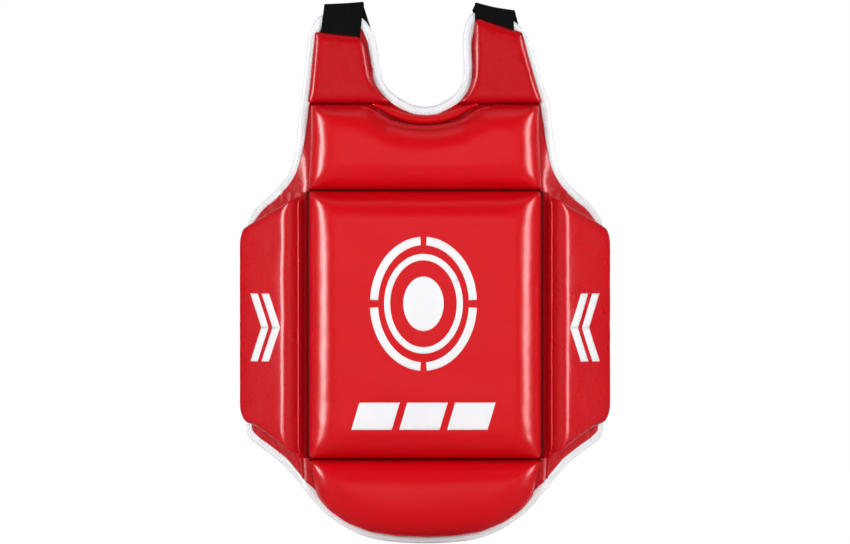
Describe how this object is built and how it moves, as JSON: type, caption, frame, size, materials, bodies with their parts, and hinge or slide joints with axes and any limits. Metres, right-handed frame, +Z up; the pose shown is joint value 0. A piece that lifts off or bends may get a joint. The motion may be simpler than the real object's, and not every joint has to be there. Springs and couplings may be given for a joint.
{
  "type": "chest protector",
  "caption": "Padded red body protector with sewn chest, belly and wrap-round side pads, white bound edges, webbing shoulder straps and an elastic waist belt.",
  "frame": {"origin": "middle of the ring that the padded front and the waist belt make round the wearer, level with the lowest point of the hem", "axes": "+Z up to the shoulders, +X to the wearer's left, the padded front faces -Y and the body side +Y"},
  "size_m": [0.3716, 0.1539, 0.54],
  "materials": {
    "leather": "semi-gloss red grained synthetic leather",
    "backing": "satin red synthetic leather",
    "foam": "soft foam",
    "lining": "matte black woven lining",
    "binding": "satin white tape",
    "webbing": "black woven webbing",
    "buckle": "moulded black plastic",
    "elastic": "ribbed black elastic",
    "hook_and_loop": "matte hook-and-loop"
  },
  "bodies": {
    "belly": {"belly_backing": "backing", "belly_lining": "lining", "belly_cover": "leather", "belly_foam": "foam"},
    "chest": {"chest_backing": "backing", "chest_lining": "lining", "chest_cover": "leather", "chest_foam": "foam", "neck_binding": "binding", "armhole_binding_left": "binding", "armhole_binding_right": "binding"},
    "lower": {"lower_backing": "backing", "lower_lining": "lining", "lower_cover": "leather", "lower_foam": "foam", "hem_binding": "binding"},
    "shoulder_left": {"shoulder_left_backing": "backing", "shoulder_left_lining": "lining", "shoulder_left_cover": "leather", "shoulder_left_foam": "foam", "shoulder_left_binding": "binding", "strap_front_left": "webbing"},
    "wing_left": {"wing_left_backing": "backing", "wing_left_lining": "lining", "wing_left_cover": "leather", "wing_left_foam": "foam", "wing_left_binding": "binding", "belt_anchor_left": "hook_and_loop"},
    "strap_left": {"strap_back_left": "webbing"},
    "slider_left": {"slider_left": "buckle"},
    "plug_left": {"buckle_plug_left": "buckle"},
    "shoulder_right": {"shoulder_right_backing": "backing", "shoulder_right_lining": "lining", "shoulder_right_cover": "leather", "shoulder_right_foam": "foam", "shoulder_right_binding": "binding", "strap_front_right": "webbing"},
    "wing_right": {"wing_right_backing": "backing", "wing_right_lining": "lining", "wing_right_cover": "leather", "wing_right_foam": "foam", "wing_right_binding": "binding", "belt_anchor_right": "hook_and_loop"},
    "strap_right": {"strap_back_right": "webbing"},
    "slider_right": {"slider_right": "buckle"},
    "plug_right": {"buckle_plug_right": "buckle"},
    "belt_left": {"waist_belt_left": "elastic", "buckle_stub_left": "webbing", "buckle_socket_left": "buckle", "belt_hook_patch": "hook_and_loop"},
    "belt_right": {"waist_belt_right": "elastic", "buckle_stub_right": "webbing", "buckle_socket_right": "buckle", "belt_loop_patch": "hook_and_loop"}
  },
  "joints": [
    {"name": "chest_fold", "type": "hinge", "parent": "belly", "child": "chest", "pos_m": [0, -0.0371, 0.352], "axis": [-1, 0, 0], "range_deg": [-5, 0], "stiffness_Nm_per_rad": 8},
    {"name": "lower_fold", "type": "hinge", "parent": "belly", "child": "lower", "pos_m": [0, -0.0371, 0.084], "axis": [1, 0, 0], "range_deg": [-5, 35], "stiffness_Nm_per_rad": 2},
    {"name": "wing_fold_left", "type": "hinge", "parent": "belly", "child": "wing_left", "pos_m": [0.116, -0.0371, 0.2], "axis": [0, 0, 1], "range_deg": [-50, 30], "stiffness_Nm_per_rad": 0.5},
    {"name": "wing_fold_right", "type": "hinge", "parent": "belly", "child": "wing_right", "pos_m": [-0.116, -0.0371, 0.2], "axis": [0, 0, -1], "range_deg": [-50, 30], "stiffness_Nm_per_rad": 0.2},
    {"name": "shoulder_fold_left", "type": "hinge", "parent": "chest", "child": "shoulder_left", "pos_m": [0.077, -0.0371, 0.438], "axis": [-1, 0, 0], "range_deg": [-5, 45], "stiffness_Nm_per_rad": 1},
    {"name": "strap_hang_left", "type": "hinge", "parent": "shoulder_left", "child": "strap_left", "pos_m": [0.077, -0.0357, 0.53], "axis": [1, 0, 0], "range_deg": [-5, 45]},
    {"name": "slider_slide_left", "type": "slide", "parent": "strap_left", "child": "slider_left", "axis": [0, 0.1112, -0.9938], "range_m": [-0.025, 0.06]},
    {"name": "plug_swing_left", "type": "hinge", "parent": "strap_left", "child": "plug_left", "pos_m": [0.077, -0.01232, 0.34862], "axis": [1, 0, 0], "range_deg": [-15, 80]},
    {"name": "shoulder_fold_right", "type": "hinge", "parent": "chest", "child": "shoulder_right", "pos_m": [-0.077, -0.0371, 0.438], "axis": [-1, 0, 0], "range_deg": [-5, 45], "stiffness_Nm_per_rad": 1},
    {"name": "strap_hang_right", "type": "hinge", "parent": "shoulder_right", "child": "strap_right", "pos_m": [-0.077, -0.0357, 0.53], "axis": [1, 0, 0], "range_deg": [-5, 45]},
    {"name": "slider_slide_right", "type": "slide", "parent": "strap_right", "child": "slider_right", "axis": [0, 0.1112, -0.9938], "range_m": [-0.025, 0.06]},
    {"name": "plug_swing_right", "type": "hinge", "parent": "strap_right", "child": "plug_right", "pos_m": [-0.077, -0.01232, 0.34862], "axis": [1, 0, 0], "range_deg": [-15, 80]},
    {"name": "belt_swing_left", "type": "hinge", "parent": "wing_left", "child": "belt_left", "pos_m": [0.17642, 0.03491, 0.17], "axis": [0, 0, -1], "range_deg": [-50, 30]},
    {"name": "belt_swing_right", "type": "hinge", "parent": "wing_right", "child": "belt_right", "pos_m": [-0.17642, 0.03491, 0.17], "axis": [0, 0, 1], "range_deg": [-50, 30]}
  ],
  "couplings": [
    {"joint": "strap_hang_left", "follows": "shoulder_fold_left", "ratio": 1},
    {"joint": "strap_hang_right", "follows": "shoulder_fold_right", "ratio": 1},
    {"joint": "wing_fold_right", "follows": "wing_fold_left", "ratio": 1},
    {"joint": "belt_swing_left", "follows": "wing_fold_left", "ratio": 1},
    {"joint": "belt_swing_right", "follows": "wing_fold_left", "ratio": 1}
  ]
}
